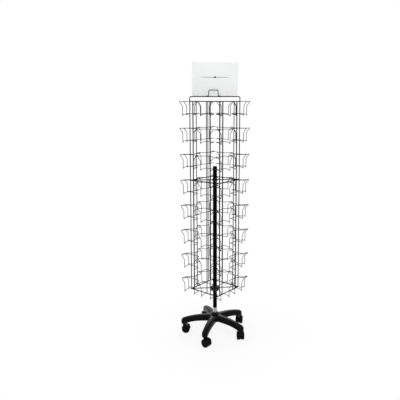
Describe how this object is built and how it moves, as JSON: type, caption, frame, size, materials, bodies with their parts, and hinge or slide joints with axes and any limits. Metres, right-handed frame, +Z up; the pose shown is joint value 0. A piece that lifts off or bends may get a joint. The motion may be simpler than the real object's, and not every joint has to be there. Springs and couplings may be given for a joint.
{
  "type": "greeting card display stand",
  "caption": "Revolving floor stand for greeting cards: a square wire column with card pockets on all faces, on a five-arm caster base, with a sign on top.",
  "frame": {"origin": "on the floor, on the axis of the centre pole", "axes": "+Z up along the centre pole; the column's faces are square to X and Y at rest; the sign stands across the X+Y diagonal and faces +X -Y"},
  "size_m": [0.4794, 0.4884, 1.8572],
  "materials": {
    "black_wire": "satin black powder coat on steel wire",
    "black_tube": "satin black powder coat on steel tube",
    "black_plug": "moulded plastic plug",
    "chrome": "bright chrome plate",
    "dark_steel": "black oxide steel",
    "plain_steel": "zinc-plated steel",
    "nylon_base": "grained black nylon moulding",
    "caster_hood": "grained black nylon moulding",
    "caster_wheel": "smooth black nylon tread",
    "grey_bush": "acetal bush",
    "white_bush": "natural nylon washer",
    "sign_board": "smooth pale sign board"
  },
  "bodies": {
    "base": {"star_base": "nylon_base", "hub_sleeve": "dark_steel", "spigot": "chrome", "spigot_bolt": "plain_steel", "centre_pole": "black_tube", "pole_cap": "black_plug", "stop_collar": "dark_steel", "collar_screw": "plain_steel", "thrust_washer": "white_bush"},
    "column": {"lower_hub": "black_tube", "lower_bush": "grey_bush", "bottom_spokes": "black_wire", "bottom_ring": "black_wire", "mid_hub": "black_tube", "mid_bush": "grey_bush", "mid_spokes": "black_wire", "middle_ring": "black_wire", "top_ring": "black_wire", "upper_uprights": "black_wire", "lower_uprights": "black_wire", "sign_hoop": "black_wire", "sign_clips": "black_wire", "tier_1_pockets": "black_wire", "tier_2_pockets": "black_wire", "tier_3_pockets": "black_wire", "tier_4_pockets": "black_wire", "tier_5_pockets": "black_wire", "tier_6_pockets": "black_wire", "tier_7_pockets": "black_wire", "tier_8_pockets": "black_wire"},
    "sign": {"sign_panel": "sign_board"},
    "caster_1": {"caster_1_housing": "caster_hood", "caster_1_stem": "plain_steel", "caster_1_axle": "plain_steel"},
    "caster_1_left_wheel": {"caster_1_left_wheel": "caster_wheel"},
    "caster_1_right_wheel": {"caster_1_right_wheel": "caster_wheel"},
    "caster_2": {"caster_2_housing": "caster_hood", "caster_2_stem": "plain_steel", "caster_2_axle": "plain_steel"},
    "caster_2_left_wheel": {"caster_2_left_wheel": "caster_wheel"},
    "caster_2_right_wheel": {"caster_2_right_wheel": "caster_wheel"},
    "caster_3": {"caster_3_housing": "caster_hood", "caster_3_stem": "plain_steel", "caster_3_axle": "plain_steel"},
    "caster_3_left_wheel": {"caster_3_left_wheel": "caster_wheel"},
    "caster_3_right_wheel": {"caster_3_right_wheel": "caster_wheel"},
    "caster_4": {"caster_4_housing": "caster_hood", "caster_4_stem": "plain_steel", "caster_4_axle": "plain_steel"},
    "caster_4_left_wheel": {"caster_4_left_wheel": "caster_wheel"},
    "caster_4_right_wheel": {"caster_4_right_wheel": "caster_wheel"},
    "caster_5": {"caster_5_housing": "caster_hood", "caster_5_stem": "plain_steel", "caster_5_axle": "plain_steel"},
    "caster_5_left_wheel": {"caster_5_left_wheel": "caster_wheel"},
    "caster_5_right_wheel": {"caster_5_right_wheel": "caster_wheel"}
  },
  "joints": [
    {"name": "column_turn", "type": "hinge", "parent": "base", "child": "column", "pos_m": [0, 0, 0.331], "axis": [0, 0, 1], "continuous": true},
    {"name": "sign_lift", "type": "slide", "parent": "column", "child": "sign", "axis": [0, 0, 1], "range_m": [0, 0.06]},
    {"name": "caster_1_swivel", "type": "hinge", "parent": "base", "child": "caster_1", "pos_m": [0.21909, 0.0134, 0.0658], "axis": [0, 0, 1], "continuous": true},
    {"name": "caster_1_left_spin", "type": "hinge", "parent": "caster_1", "child": "caster_1_left_wheel", "pos_m": [0.20928, 0.02339, 0.028], "axis": [-0.7133, -0.7009, 0], "continuous": true},
    {"name": "caster_1_right_spin", "type": "hinge", "parent": "caster_1", "child": "caster_1_right_wheel", "pos_m": [0.20928, 0.02339, 0.028], "axis": [-0.7133, -0.7009, 0], "continuous": true},
    {"name": "caster_2_swivel", "type": "hinge", "parent": "base", "child": "caster_2", "pos_m": [0.05496, 0.21251, 0.0658], "axis": [0, 0, 1], "continuous": true},
    {"name": "caster_2_left_spin", "type": "hinge", "parent": "caster_2", "child": "caster_2_left_wheel", "pos_m": [0.04806, 0.22469, 0.028], "axis": [-0.8704, -0.4924, 0], "continuous": true},
    {"name": "caster_2_right_spin", "type": "hinge", "parent": "caster_2", "child": "caster_2_right_wheel", "pos_m": [0.04806, 0.22469, 0.028], "axis": [-0.8704, -0.4924, 0], "continuous": true},
    {"name": "caster_3_swivel", "type": "hinge", "parent": "base", "child": "caster_3", "pos_m": [-0.18512, 0.11794, 0.0658], "axis": [0, 0, 1], "continuous": true},
    {"name": "caster_3_left_spin", "type": "hinge", "parent": "caster_3", "child": "caster_3_left_wheel", "pos_m": [-0.1968, 0.12566, 0.028], "axis": [-0.5519, -0.8339, 0], "continuous": true},
    {"name": "caster_3_right_spin", "type": "hinge", "parent": "caster_3", "child": "caster_3_right_wheel", "pos_m": [-0.1968, 0.12566, 0.028], "axis": [-0.5519, -0.8339, 0], "continuous": true},
    {"name": "caster_4_swivel", "type": "hinge", "parent": "base", "child": "caster_4", "pos_m": [-0.16937, -0.13962, 0.0658], "axis": [0, 0, 1], "continuous": true},
    {"name": "caster_4_left_spin", "type": "hinge", "parent": "caster_4", "child": "caster_4_left_wheel", "pos_m": [-0.1575, -0.1322, 0.028], "axis": [-0.5299, 0.848, 0], "continuous": true},
    {"name": "caster_4_right_spin", "type": "hinge", "parent": "caster_4", "child": "caster_4_right_wheel", "pos_m": [-0.1575, -0.1322, 0.028], "axis": [-0.5299, 0.848, 0], "continuous": true},
    {"name": "caster_5_swivel", "type": "hinge", "parent": "base", "child": "caster_5", "pos_m": [0.08045, -0.20423, 0.0658], "axis": [0, 0, 1], "continuous": true},
    {"name": "caster_5_left_spin", "type": "hinge", "parent": "caster_5", "child": "caster_5_left_wheel", "pos_m": [0.09445, -0.20423, 0.028], "axis": [0, 1, 0], "continuous": true},
    {"name": "caster_5_right_spin", "type": "hinge", "parent": "caster_5", "child": "caster_5_right_wheel", "pos_m": [0.09445, -0.20423, 0.028], "axis": [0, 1, 0], "continuous": true}
  ]
}
